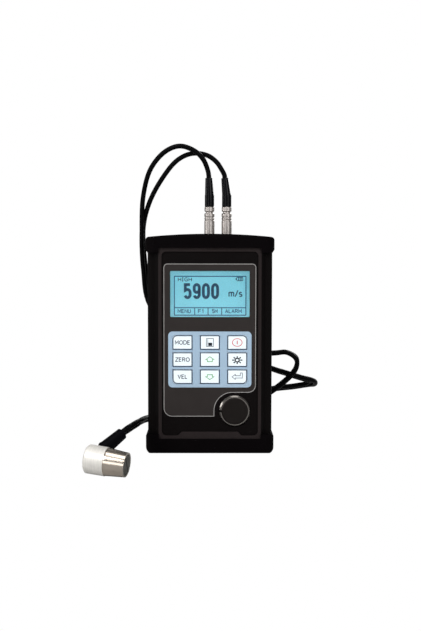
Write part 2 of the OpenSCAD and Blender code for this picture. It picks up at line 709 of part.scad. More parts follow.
module plug_left() color("#b4afac") plug(0);
module plug_right() color("#b4afac") plug(1);

// release sleeve with two grip grooves near its upper end
module sleeve(i) {
    bore = plug_core_r + play;
    root = sleeve_r - grip_d;
    grooves = [for (k = [1, 0]) sleeve_l - grip_top - grip_w - k*grip_pitch];
    on_plug(i, sleeve_z) rotate_extrude() polygon(concat(
        [[bore, 0], [sleeve_r - turned_edge, 0], [sleeve_r, turned_edge]],
        [for (z = grooves) each [[sleeve_r, z], [root, z + grip_d], [root, z + grip_w - grip_d],
            [sleeve_r, z + grip_w]]],
        [[sleeve_r, sleeve_l - turned_edge], [sleeve_r - turned_edge, sleeve_l], [bore, sleeve_l]]));
}

module sleeve_left() color("#c2bdb9") sleeve(0);
module sleeve_right() color("#c2bdb9") sleeve(1);

// bend boot: straight on the nut, then tapered and bent over by its cable
module boot(i) {
    on_plug(i, boot_z) cylinder(r = boot_r, h = boot_collar);
    translate(boot_foot(i)) rotate([0, -boot_lean[i], 0])
        cylinder(r1 = boot_r - boot_step, r2 = boot_tip_r, h = boot_cone);
}

module boot_left() color("#101314") boot(0);
module boot_right() color("#101314") boot(1);

// plain tube of cable_sides sides with a ring at each point of p
module tube(p) {
    n = len(p);
    m = cable_sides;
    normals = carried(p, [1, 0, 0]);
    rings = [for (i = [0:n - 1]) let (t = tangent(p, i), u = normals[i], v = cross(t, u))
        for (j = [0:m - 1]) p[i] + cable_d/2*(cos(360*j/m)*u + sin(360*j/m)*v)];
    walls = [for (i = [0:n - 2]) for (j = [0:m - 1]) let (k = (j + 1)%m)
        [i*m + j, (i + 1)*m + j, (i + 1)*m + k, i*m + k]];
    polyhedron(rings, concat(walls, [[for (j = [0:m - 1]) j], [for (j = [m - 1:-1:0]) (n - 1)*m + j]]));
}

module cable_left() color("#101314") tube(lead(0, lead_left, 1));
module cable_right() color("#101314") tube(lead(1, lead_right, -1));

// probe frame: origin on the axis at the front edge of the housing, +X along the nose, +Y towards the boot
module at_probe() {
    multmatrix([for (r = [0:2]) [axis_a[r], axis_n[r], axis_w[r], probe_at[r]]])
        rotate([probe_roll, 0, 0]) children();
}

// turned piece on the probe's axis, profile given as [radius, distance along the nose]
module probe_turned(profile) {
    rotate([90, 0, 90]) rotate_extrude() polygon(profile);
}

module probe_housing() color("#dedbd6") at_probe() difference() {
    probe_turned([[0, -probe_l], [probe_r - probe_chamfer, -probe_l], [probe_r, -probe_l + probe_chamfer],
        [probe_r, 0], [0, 0]]);
    translate([probe_boot_x, probe_boot_flat, 0]) rotate([-90, 0, 0])
        cylinder(r = probe_boot_r + fit, h = probe_r);
}

module probe_nose() color("#a9a7a4") at_probe() difference() {
    probe_turned([[0, 0], [nose_base_r, 0], [nose_base_r, nose_shoulder], [nose_tip_r, nose_l], [0, nose_l]]);
    translate([nose_l - line_l, 0, 0]) rotate([0, 90, 0])
        cylinder(r = nose_tip_r - nose_wall, h = line_l + over);
}

// round bar that fills the bore of the nose
module probe_core() {
    translate([nose_l - line_l, 0, 0]) rotate([0, 90, 0])
        cylinder(r = nose_tip_r - nose_wall - fit, h = line_l);
}

module delay_lines() color("#3a3c30") at_probe() for (s = [0, 1]) mirror([0, s, 0]) intersection() {
    probe_core();
    translate([0, barrier_t/2, -probe_r]) cube([nose_l + over, probe_r, 2*probe_r]);
}

module probe_barrier() color("#1a1a16") at_probe() intersection() {
    probe_core();
    translate([0, -barrier_t/2 + fit, -probe_r]) cube([nose_l + over, barrier_t - 2*fit, 2*probe_r]);
}

module probe_boot() color("#101314") at_probe() {
    translate([probe_boot_x, probe_boot_flat, 0]) rotate([-90, 0, 0])
        cylinder(r = probe_boot_r, h = probe_boot_collar);
    translate([probe_boot_x, probe_boot_foot, 0]) rotate([0, 0, -probe_boot_lean]) rotate([-90, 0, 0])
        cylinder(r1 = probe_boot_r - boot_step, r2 = probe_boot_tip_r, h = probe_boot_cone);
}

case_body();
top_plate();
bottom_plate();
end_screws();
top_bumper();
bottom_bumper();
front_overlay();
display_window();
display_glass();
backlight();
keypad_panel();
key_mode();
key_save();
key_power();
key_zero();
key_up();
key_light();
key_velocity();
key_down();
key_enter();
dome_mat();
keypad_board();
board_spacers();
main_board();
test_block();
block_ring();
battery_tray();
battery_cells();
battery_contacts();
battery_cover();
cover_screws();
socket_left();
socket_right();
socket_nuts();
plug_left();
plug_right();
sleeve_left();
sleeve_right();
boot_left();
boot_right();
cable_left();
cable_right();
probe_housing();
probe_nose();
delay_lines();
probe_barrier();
probe_boot();
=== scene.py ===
"""Looks of the handheld ultrasonic thickness gauge: camera, twin lead, prints, finishes, studio."""
import math

import bpy
import numpy as np
from mathutils import Matrix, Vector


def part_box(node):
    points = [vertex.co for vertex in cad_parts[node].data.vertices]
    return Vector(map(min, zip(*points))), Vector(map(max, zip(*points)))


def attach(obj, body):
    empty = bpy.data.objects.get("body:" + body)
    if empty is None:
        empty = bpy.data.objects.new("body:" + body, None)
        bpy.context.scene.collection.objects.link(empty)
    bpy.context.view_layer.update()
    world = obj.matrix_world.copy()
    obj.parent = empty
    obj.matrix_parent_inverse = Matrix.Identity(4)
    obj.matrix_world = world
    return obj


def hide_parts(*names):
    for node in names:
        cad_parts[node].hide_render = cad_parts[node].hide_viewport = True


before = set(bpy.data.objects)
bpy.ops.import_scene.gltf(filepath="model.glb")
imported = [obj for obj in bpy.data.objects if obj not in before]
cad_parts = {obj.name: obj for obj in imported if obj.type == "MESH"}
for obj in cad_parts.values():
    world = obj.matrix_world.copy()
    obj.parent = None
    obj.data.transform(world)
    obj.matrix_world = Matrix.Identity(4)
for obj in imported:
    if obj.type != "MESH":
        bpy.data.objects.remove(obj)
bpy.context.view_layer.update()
MM = 0.001
GAUGE = "gauge"

# camera of the photograph: place in mm, then angles in degrees, then lens in mm
CAMERA_AT = (-2.0, -601.8, 122.4)
AZIMUTH, ELEVATION, ROLL = -0.23, 3.81, 0.07
LENS = 56.2

# the front panel, in mm: planes along Y, then places in X and Z
OVERLAY_Y, KEY_Y, GLASS_Y = -14.0, -14.55, -11.4
PRINT = 0.02                                   # height of an ink layer
DISPLAY = (-23.8, 23.8, 82.21, 109.81)
PAD = (-24.95, 24.95, 39.95, 73.65)
PAD_R = 2.6
KEY_W, KEY_H, KEY_R = 11.7, 8.5, 2.4
PITCH_X, PITCH_Z, PAD_Z = 16.4, 10.3, 56.8
KEYS = {"key_mode": (-1, 1), "key_save": (0, 1), "key_power": (1, 1), "key_zero": (-1, 0), "key_up": (0, 0),
        "key_light": (1, 0), "key_velocity": (-1, -1), "key_down": (0, -1), "key_enter": (1, -1)}

# the lead, in mm: the route of the part's source, eased by up to 1.3 mm where the camera sees it;
# the two cables of the twin all but touch
CABLE_D, CABLE_STEP, PLUG_LEAD_IN, LEAD_IN = 3.0, 3.04, 1.8, 3.0
PLUG_Y, BOOT_FOOT_Z, BOOT_CONE = 2.0, 154.65, 11.4
# each cable: place of its plug in X, lean of its boot in degrees, side of the twin, own points
LEADS = {
    "cable_left": (-0.3, 2, 1, [(-1.4, 2, 171), (-4, 1, 177), (-9, 0, 182), (-18, -1, 185), (-27, 1, 182),
                                (-36, 4, 172), (-41, 9, 156)]),
    "cable_right": (10.2, 6, -1, [(7.2, 2, 171), (3.8, 3, 176), (-2, 4, 180), (-11, 4, 181), (-20, 5, 177),
                                  (-30, 7, 165), (-38, 11, 150)])}
TWIN = [(-42, 15, 134), (-41, 19, 110), (-37, 20, 88), (-10, 20, 58), (41, 22, 57), (49, 22, 57.4),
        (55.4, 23, 53), (54.4, 24, 45.6), (32, 26, 27), (0, 30, 14), (-22, 37, 5), (-30, 47, 4),
        (-25, 57, 4), (-10, 62, 8),
        (12, 54, 30), (30, 37, 47), (46, 31, 44), (59, 31, 40), (66, 33, 38), (68, 39, 36), (65, 45, 34),
        (56, 48, 32), (40, 47, 30), (0, 40, 16), (-31, 33, 15), (-39, 22, 15), (-41.9, 5, 16.6),
        (-42.8, -17, 19), (-43.8, -37, 21.2), (-45.5, -50, 21.8)]
TWIN_SIDE, TWIN_TURN = (-0.6, -0.8, 0.0), math.radians(-1)
# the pair's direction at some points, by number: it sets how wide the twin looks beside the case,
# in the loops and at the probe
TWIN_LOOK = {
    0: (-0.15, -0.99, 0.0), 1: (-0.5, -0.86, -0.1), 3: (-0.1, -0.96, -0.25), 4: (0.0, -1.0, 0.03),
    5: (0.0, -1.0, 0.03), 19: (-0.6, 0.25, 0.76), 25: (0.66, -0.28, 0.7), 26: (0.64, 0.0, 0.77),
    27: (0.6, 0.0, 0.8), 28: (0.56, 0.0, 0.83), 29: (0.54, -0.12, 0.83), 30: (0.44, -0.39, 0.81),
    31: (0.18, -0.72, 0.67)}
STEPS = 8                                      # points of the smooth curve to a stretch of the route
CABLE_SIDES = 14
PROBE_R, NOSE_TIP_R, NOSE_L = 7.9, 6.7, 11.5
PROBE_TILT = math.atan2(PROBE_R - NOSE_TIP_R, NOSE_L)
PROBE_YAW, PROBE_ROLL, PROBE_LEAN = math.radians(14), math.radians(35), math.radians(25)
PROBE_AT = np.array([-56, -74.5, PROBE_R*math.cos(PROBE_TILT)])
PROBE_BOOT_X, PROBE_BOOT_FOOT, PROBE_BOOT_CONE = -4.4, 9.3, 13.6


def unit(v):
    """The direction of v."""
    return v/np.linalg.norm(v)


def probe_axes():
    """Directions of the probe: along its nose, level across it, square to both, and along its boot."""
    c, s = math.cos(PROBE_TILT), math.sin(PROBE_TILT)
    along = np.array([c*math.cos(PROBE_YAW), -c*math.sin(PROBE_YAW), -s])
    level = np.array([math.sin(PROBE_YAW), math.cos(PROBE_YAW), 0.0])
    third = np.cross(along, level)
    return along, level, third, math.cos(PROBE_ROLL)*level + math.sin(PROBE_ROLL)*third


# camera

def add_camera():
    """The camera looks along +Y turned by the azimuth, down by the elevation, and rolls on its axis."""
    a, e, r = (math.radians(v) for v in (AZIMUTH, ELEVATION, ROLL))
    back = np.array([math.sin(a)*math.cos(e), -math.cos(a)*math.cos(e), math.sin(e)])
    right = unit(np.cross(-back, [0, 0, 1]))
    up = np.cross(right, -back)
    x, y = right*math.cos(r) + up*math.sin(r), up*math.cos(r) - right*math.sin(r)
    data = bpy.data.cameras.new("camera")
    data.lens, data.sensor_width, data.clip_start = LENS, 36.0, 0.01
    cam = bpy.data.objects.new("camera", data)
    bpy.context.scene.collection.objects.link(cam)
    at = np.array(CAMERA_AT)*MM
    cam.matrix_world = Matrix([[x[i], y[i], back[i], at[i]] for i in range(3)] + [[0, 0, 0, 1]])
    bpy.context.scene.camera = cam


add_camera()


# lead

def twin_points(side):
    """One cable of the twin: the smooth middle route stepped sideways along the pair's direction.

    The direction is carried along the route with a slow turn, or set by TWIN_LOOK. It is blended between
    the route's points, averaged over one stretch and kept square to the curve.
    """
    along, _, _, out = probe_axes()
    bent = math.cos(PROBE_LEAN)*out + math.sin(PROBE_LEAN)*along
    end = PROBE_AT + PROBE_BOOT_X*along + PROBE_BOOT_FOOT*out + PROBE_BOOT_CONE*bent
    p = np.vstack([np.array(TWIN, float), end + LEAD_IN*bent, end])
    n, turned = np.array(TWIN_SIDE), []
    for i in range(len(p)):
        t = unit(p[min(i + 1, len(p) - 1)] - p[max(i - 1, 0)])
        n = unit(n - (n @ t)*t)
        turned.append(TWIN_LOOK.get(i, n))
        n = math.cos(TWIN_TURN)*n + math.sin(TWIN_TURN)*np.cross(t, n)
    before = np.mean([own[-1] for _, _, _, own in LEADS.values()], axis=0)
    middle = smooth(np.vstack([before, p]), STEPS)[STEPS:]
    place = np.clip(np.arange(-STEPS//2, len(middle) + STEPS//2)/STEPS, 0, len(p) - 1)
    blend = np.column_stack([np.interp(place, np.arange(len(p)), v) for v in np.array(turned).T])
    total = np.cumsum(np.vstack([np.zeros(3), blend]), axis=0)
    step = (total[STEPS:] - total[:-STEPS])[:len(middle)]
    t = np.gradient(middle, axis=0)
    t /= np.linalg.norm(t, axis=1)[:, None]
    step -= np.einsum("ij,ij->i", step, t)[:, None]*t
    return middle + side*CABLE_STEP/2*step/np.linalg.norm(step, axis=1)[:, None]


def smooth(p, k):
    """Points on the centripetal Catmull-Rom curve through p, k to a stretch."""
    q = np.vstack([2*p[0] - p[1], p, 2*p[-1] - p[-2]])
    t = np.concatenate([[0], np.cumsum(np.linalg.norm(np.diff(q, axis=0), axis=1)**0.5)])
    out = []
    for i in range(1, len(q) - 2):
        s = np.linspace(t[i], t[i + 1], k, endpoint=False)[:, None]
        a = [(t[j + 1] - s)/(t[j + 1] - t[j])*q[j] + (s - t[j])/(t[j + 1] - t[j])*q[j + 1]
             for j in (i - 1, i, i + 1)]
        b = [(t[j + 2] - s)/(t[j + 2] - t[j])*a[j - i + 1] + (s - t[j])/(t[j + 2] - t[j])*a[j - i + 2]
             for j in (i - 1, i)]
        out.append((t[i + 1] - s)/(t[i + 1] - t[i])*b[0] + (s - t[i])/(t[i + 1] - t[i])*b[1])
    return np.vstack(out + [p[-1:]])


def tube(p, radius, sides):
    """Points and faces of a round tube along p: rings square to the path, carried along it without twist."""
    t = np.gradient(p, axis=0)
    t /= np.linalg.norm(t, axis=1)[:, None]
    n, normals = np.array([1.0, 0.0, 0.0]), []
    for d in t:
        n = unit(n - (n @ d)*d)
        normals.append(n)
    normals = np.array(normals)
    a = np.linspace(0, 2*math.pi, sides, endpoint=False)[None, :, None]
    rings = p[:, None] + radius*(np.cos(a)*normals[:, None] + np.sin(a)*np.cross(t, normals)[:, None])
    i, j = np.meshgrid(np.arange(len(p) - 1)*sides, np.arange(sides), indexing="ij")
    k = (j + 1) % sides
    walls = np.stack([i + j, i + k, i + sides + k, i + sides + j], axis=2).reshape(-1, 4).tolist()
    last = (len(p) - 1)*sides
    caps = [list(range(sides - 1, -1, -1)), list(range(last, last + sides))]
    return rings.reshape(-1, 3).tolist(), walls + caps


def add_cable(node):
    """A round cable along its route, from the plug's boot into the probe's boot."""
    x, lean, side, own = LEADS[node]
    axis = np.array([-math.sin(math.radians(lean)), 0.0, math.cos(math.radians(lean))])
    tip = np.array([x, PLUG_Y, BOOT_FOOT_Z]) + BOOT_CONE*axis
    twin = twin_points(side)
    start = smooth(np.vstack([tip, tip + PLUG_LEAD_IN*axis, own, twin[0], twin[STEPS]]), STEPS)
    p = np.vstack([start[:-STEPS - 1], twin])*MM
    verts, faces = tube(p, CABLE_D/2*MM, CABLE_SIDES)
    data = bpy.data.meshes.new("lead_" + node)
    data.from_pydata(verts, [], faces)
    data.shade_smooth()
    cable = bpy.data.objects.new("lead_" + node, data)
    bpy.context.scene.collection.objects.link(cable)
    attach(cable, GAUGE)
    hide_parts(node)
    return cable


cables = [add_cable(node) for node in LEADS]


# finishes

def linear(r, g, b):
    """Scene colour of an sRGB colour given as 0 to 255."""
    v = np.array([r, g, b])/255
    v = np.where(v <= 0.04045, v/12.92, ((v + 0.055)/1.055)**2.4)
    return (*v.tolist(), 1.0)


GRAIN_SHARE = 0.6                              # of the grain in the noise that colour and gloss follow
NOISE_LOW, NOISE_HIGH = 0.3, 0.7               # the part of the noise's range that is used
GLOSS_SPREAD = 0.12
PAINTED_LIGHT_FADE = (0.4, 0.1)                              # where the painted light starts and is full, in mm behind the lit face


def finish(name, colour, rough, metal=0.0, spec=0.5, grain=0.4, bump=0.05, tint=0.12, stretch=(1, 1, 1),
           turn=None, glow=0.0, clear=0.0, blotch=9.0, front=None):
    """Surface whose colour, gloss and relief follow two noises: blotches in mm, and a grain in mm.

    stretch multiplies the grain's three directions, so that unequal values draw it into lines.
    turn rotates them. The last pair, a depth Y in mm and a factor, multiplies the colour of what lies at that
    depth or before it: painted light, which makes that face lighter than the part's other faces, as if lit
    more.
    """
    m = bpy.data.materials.new(name)
    m.use_nodes = True
    n, link = m.node_tree.nodes, m.node_tree.links.new
    s = n["Principled BSDF"]
    place = n.new("ShaderNodeTexCoord").outputs["Object"]
    if turn is not None:
        spin = n.new("ShaderNodeMapping")
        spin.inputs["Rotation"].default_value = turn
        link(place, spin.inputs["Vector"])
        place = spin.outputs["Vector"]
    pull = n.new("ShaderNodeMapping")
    pull.inputs["Scale"].default_value = stretch
    link(place, pull.inputs["Vector"])
    fine, wide = n.new("ShaderNodeTexNoise"), n.new("ShaderNodeTexNoise")
    fine.inputs["Scale"].default_value, fine.inputs["Detail"].default_value = 1/(grain*MM), 3.0
    wide.inputs["Scale"].default_value, wide.inputs["Detail"].default_value = 1/(blotch*MM), 2.0
    link(pull.outputs["Vector"], fine.inputs["Vector"])
    link(place, wide.inputs["Vector"])
    both = n.new("ShaderNodeMath")
    both.operation = "MULTIPLY_ADD"
    both.inputs[1].default_value = GRAIN_SHARE
    link(fine.outputs["Fac"], both.inputs[0])
    rest = n.new("ShaderNodeMath")
    rest.operation = "MULTIPLY"
    rest.inputs[1].default_value = 1 - GRAIN_SHARE
    link(wide.outputs["Fac"], rest.inputs[0])
    link(rest.outputs[0], both.inputs[2])
    mix = n.new("ShaderNodeValToRGB")
    base = np.array(linear(*colour))
    low, high = mix.color_ramp.elements
    low.position, high.position = NOISE_LOW, NOISE_HIGH
    low.color = (*(base[:3]*(1 - tint)).tolist(), 1.0)
    high.color = (*np.minimum(base[:3]*(1 + tint), 1.0).tolist(), 1.0)
    link(both.outputs[0], mix.inputs["Fac"])
    colour_out = mix.outputs["Color"]
    # painted light: the colour at this depth is multiplied by the factor, so the face there looks more lit
    # than the sides
    if front is not None:
        apart, before = n.new("ShaderNodeSeparateXYZ"), n.new("ShaderNodeMapRange")
        link(n["Texture Coordinate"].outputs["Object"], apart.inputs["Vector"])
        link(apart.outputs["Y"], before.inputs["Value"])
        before.inputs["From Min"].default_value = (front[0] + PAINTED_LIGHT_FADE[0])*MM
        before.inputs["From Max"].default_value = (front[0] + PAINTED_LIGHT_FADE[1])*MM
        before.inputs["To Min"].default_value, before.inputs["To Max"].default_value = 1.0, front[1]
        scaled = n.new("ShaderNodeVectorMath")
        scaled.operation = "SCALE"
        link(colour_out, scaled.inputs[0])
        link(before.outputs["Result"], scaled.inputs["Scale"])
        colour_out = scaled.outputs["Vector"]
    link(colour_out, s.inputs["Base Color"])
    gloss = n.new("ShaderNodeMapRange")
    gloss.inputs["From Min"].default_value, gloss.inputs["From Max"].default_value = NOISE_LOW, NOISE_HIGH
    gloss.inputs["To Min"].default_value = rough*(1 - GLOSS_SPREAD)
    gloss.inputs["To Max"].default_value = min(rough*(1 + GLOSS_SPREAD), 1.0)
    link(both.outputs[0], gloss.inputs["Value"])
    link(gloss.outputs["Result"], s.inputs["Roughness"])
    relief = n.new("ShaderNodeBump")
    relief.inputs["Strength"].default_value, relief.inputs["Distance"].default_value = 1.0, bump*MM
    link(fine.outputs["Fac"], relief.inputs["Height"])
    link(relief.outputs["Normal"], s.inputs["Normal"])
    s.inputs["Metallic"].default_value = metal
    s.inputs["Specular IOR Level"].default_value = spec
    s.inputs["Transmission Weight"].default_value = clear
    if glow:
        link(mix.outputs["Color"], s.inputs["Emission Color"])
        s.inputs["Emission Strength"].default_value = glow
    return m


along, level, third, _ = probe_axes()
PROBE_TURN = Matrix([level.tolist(), third.tolist(), along.tolist()]).to_euler()
LINES_Z = (0.15, 0.15, 1.0)                    # lines across Z, as a lathe leaves them
rubber = finish("rubber", (6, 4, 5), 0.65, spec=0.02, grain=0.35, bump=0.02)
# painted light: the case's face at Y -14.7 is made seven times lighter than its sides, for the light it
# catches
anodised_with_painted_light = finish("black_anodised_aluminium_painted_front_light", (9, 7, 7), 0.5, spec=0.03, grain=0.25, bump=0.004,
                  stretch=(1, 1, 0.02), front=(-14.7, 7.0))
overlay_black = finish("overlay_black", (10, 7, 7), 0.55, spec=0.04, grain=0.2, bump=0.004)
ink_charcoal = finish("ink_charcoal", (44, 40, 39), 0.55, spec=0.06, grain=0.2, bump=0.004)
ink_grey = finish("ink_grey", (150, 148, 146), 0.5, spec=0.2, grain=0.3, bump=0.002)
window_clear = finish("window_clear", (250, 252, 252), 0.03, spec=0.3, grain=0.8, bump=0.0002, tint=0.01,
                      clear=1.0)
display_lit = finish("display_lit", (126, 197, 213), 0.5, spec=0.0, grain=0.5, bump=0.001, glow=0.5,
                     blotch=24)
lcd_dark = finish("display_segments", (45, 75, 102), 0.5, spec=0.0, grain=0.5, bump=0.001, glow=0.2)
lcd_line = finish("display_lines", (38, 90, 128), 0.5, spec=0.0, grain=0.5, bump=0.001, glow=0.3)
pad_blue = finish("keypad_blue", (154, 177, 197), 0.45, spec=0.2, grain=0.3, bump=0.004, tint=0.04)
key_white = finish("key_white", (233, 244, 248), 0.4, spec=0.3, grain=0.3, bump=0.003, tint=0.02)
ink_navy = finish("ink_navy", (26, 44, 76), 0.5, spec=0.2, grain=0.3, bump=0.002)
ink_legend = finish("ink_legend", (66, 70, 88), 0.5, spec=0.2, grain=0.3, bump=0.002)
ink_red = finish("ink_red", (208, 112, 117), 0.5, spec=0.2, grain=0.3, bump=0.002)
ink_green = finish("ink_green", (106, 170, 112), 0.5, spec=0.2, grain=0.3, bump=0.002)
ink_pale = finish("ink_pale", (122, 124, 136), 0.5, spec=0.2, grain=0.3, bump=0.002)
ink_black = finish("ink_black", (20, 25, 35), 0.5, spec=0.2, grain=0.3, bump=0.002)
# painted reflection: the test disc's near-black colour stands in for the dark surroundings that its polished
# steel face reflects
test_steel_painted_dark = finish("test_steel_painted_dark_reflection", (22, 18, 16), 0.45, metal=0.5, spec=0.2, grain=0.5, bump=0.004,
                    stretch=(1, 1, 0.1))
ring_metal = finish("bright_ring_metal", (112, 108, 104), 0.24, metal=1.0, grain=0.4, bump=0.003)
nickel = finish("nickel", (170, 164, 160), 0.4, metal=1.0, grain=0.15, bump=0.004, stretch=LINES_Z)
nickel_flat = finish("nickel_socket", (172, 166, 163), 0.44, metal=1.0, grain=0.15, bump=0.004,
                     stretch=LINES_Z)
boot_rubber = finish("boot_rubber", (4, 4, 7), 0.2, spec=0.1, grain=0.3, bump=0.01)
boot_dull = finish("boot_rubber_dull", (4, 4, 7), 0.45, spec=0.03, grain=0.3, bump=0.01)
cable_skin = finish("cable_skin", (4, 4, 5), 0.42, spec=0.035, grain=0.3, bump=0.006)
turned_pale = finish("turned_pale_aluminium", (212, 209, 203), 0.42, metal=0.3, grain=0.3, bump=0.05,
                     tint=0.14, stretch=(0.04, 0.04, 1.0), turn=PROBE_TURN)
chrome = finish("polished_nose", (180, 170, 158), 0.18, metal=1.0, grain=0.12, bump=0.0003, tint=0.05,
                stretch=(0.04, 0.04, 1.0), turn=PROBE_TURN)
line_resin = finish("delay_line_resin", (50, 48, 38), 0.4, spec=0.3, grain=0.4, bump=0.004, tint=0.2)
cork = finish("barrier_cork", (24, 22, 18), 0.8, spec=0.2, grain=0.2, bump=0.02)
screw_steel = finish("screw_steel", (150, 150, 152), 0.35, metal=1.0, grain=0.2, bump=0.004)
board_green = finish("board_green", (40, 92, 58), 0.5, grain=0.6, bump=0.01)
plain_white = finish("white_plastic", (226, 224, 216), 0.5, grain=0.4, bump=0.006)
cover_plastic = finish("cover_plastic", (27, 27, 29), 0.42, spec=0.35, grain=0.35, bump=0.012)
tray_black = finish("tray_plastic", (26, 26, 28), 0.55, grain=0.3, bump=0.01)
cell_skin = finish("cell_sleeve", (178, 150, 66), 0.35, metal=0.3, grain=0.5, bump=0.004)
mat_grey = finish("silicone_grey", (140, 143, 148), 0.6, grain=0.3, bump=0.01)

NODE_FINISH = {
    rubber: "top_bumper bottom_bumper", anodised_with_painted_light: "case_body top_plate bottom_plate",
    cover_plastic: "battery_cover", overlay_black: "front_overlay", window_clear: "display_window",
    display_lit: "display_glass",
    pad_blue: "keypad_panel", key_white: " ".join(KEYS), test_steel_painted_dark: "test_block", ring_metal: "block_ring",
    nickel: "plug_left plug_right sleeve_left sleeve_right",
    nickel_flat: "socket_left socket_right socket_nuts battery_contacts",
    boot_rubber: "boot_left boot_right", boot_dull: "probe_boot", turned_pale: "probe_housing",
    chrome: "probe_nose",
    line_resin: "delay_lines", cork: "probe_barrier", screw_steel: "end_screws cover_screws",
    board_green: "keypad_board main_board", plain_white: "backlight board_spacers",
    tray_black: "battery_tray", cell_skin: "battery_cells", mat_grey: "dome_mat"}
for material, names in NODE_FINISH.items():
    for name in names.split():
        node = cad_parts[name]
        node.data.materials.clear()
        node.data.materials.append(material)
for cable in cables:
    cable.data.materials.append(cable_skin)


# prints: flat sheets that face -Y, drawn in X and Z

def add_sheet(name, parts, y, material, body):
    """One flat piece at depth y: each part is a pair of equal rows of (X, Z), ruled from one to the other."""
    verts, faces, start = [], [], 0
    for a, b in parts:
        k = len(a)
        i = np.arange(k - 1) + start
        flat = np.vstack([a, b])
        verts.append(np.column_stack([flat[:, 0], np.full(2*k, y), flat[:, 1]]))
        faces.append(np.column_stack([i, i + k, i + k + 1, i + 1]))
        start += 2*k
    data = bpy.data.meshes.new(name)
    data.from_pydata((np.vstack(verts)*MM).tolist(), [], np.vstack(faces).tolist())
    data.materials.append(material)
    piece = bpy.data.objects.new(name, data)
    bpy.context.scene.collection.objects.link(piece)
    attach(piece, body)
    return piece


def ribbon(path, width, closed=False):
    """Two edges of a line of constant width along a path, mitred at its corners, the left edge second."""
    p = np.array(path, float)
    before, after = np.roll(p, 1, axis=0), np.roll(p, -1, axis=0)
    if not closed:
        before[0], after[-1] = 2*p[0] - p[1], 2*p[-1] - p[-2]
    u, v = p - before, after - p
    u /= np.linalg.norm(u, axis=1)[:, None]
    v /= np.linalg.norm(v, axis=1)[:, None]
    normal = np.column_stack([-(u + v)[:, 1], (u + v)[:, 0]])
    normal /= np.linalg.norm(normal, axis=1)[:, None]
    reach = 1/np.maximum(np.einsum("ij,ij->i", normal, np.column_stack([-u[:, 1], u[:, 0]])), 0.5)
    step = normal*(width/2*reach)[:, None]
    a, b = p - step, p + step
    if closed:
        a, b = np.vstack([a, a[:1]]), np.vstack([b, b[:1]])
    return a, b


def arc(cx, cz, rx, rz, start, stop, n=10):
    """Points on an ellipse from one angle to another, in degrees."""
    t = np.radians(np.linspace(start, stop, n))
    return np.column_stack([cx + rx*np.cos(t), cz + rz*np.sin(t)])


def rounded(x0, x1, z0, z1, radii):
    """Closed path of a rectangle with a radius at each corner, anticlockwise from the lower right."""
    corners = [(x1, z0, -90), (x1, z1, 0), (x0, z1, 90), (x0, z0, 180)]
    out = []
    for (x, z, a), r in zip(corners, radii):
        r = max(r, 0.001)
        sx, sz = (1 if x == x0 else -1), (1 if z == z0 else -1)
        out.append(arc(x + sx*r, z + sz*r, r, r, a, a + 90, 8 if r > 0.01 else 2))
    return np.vstack(out)


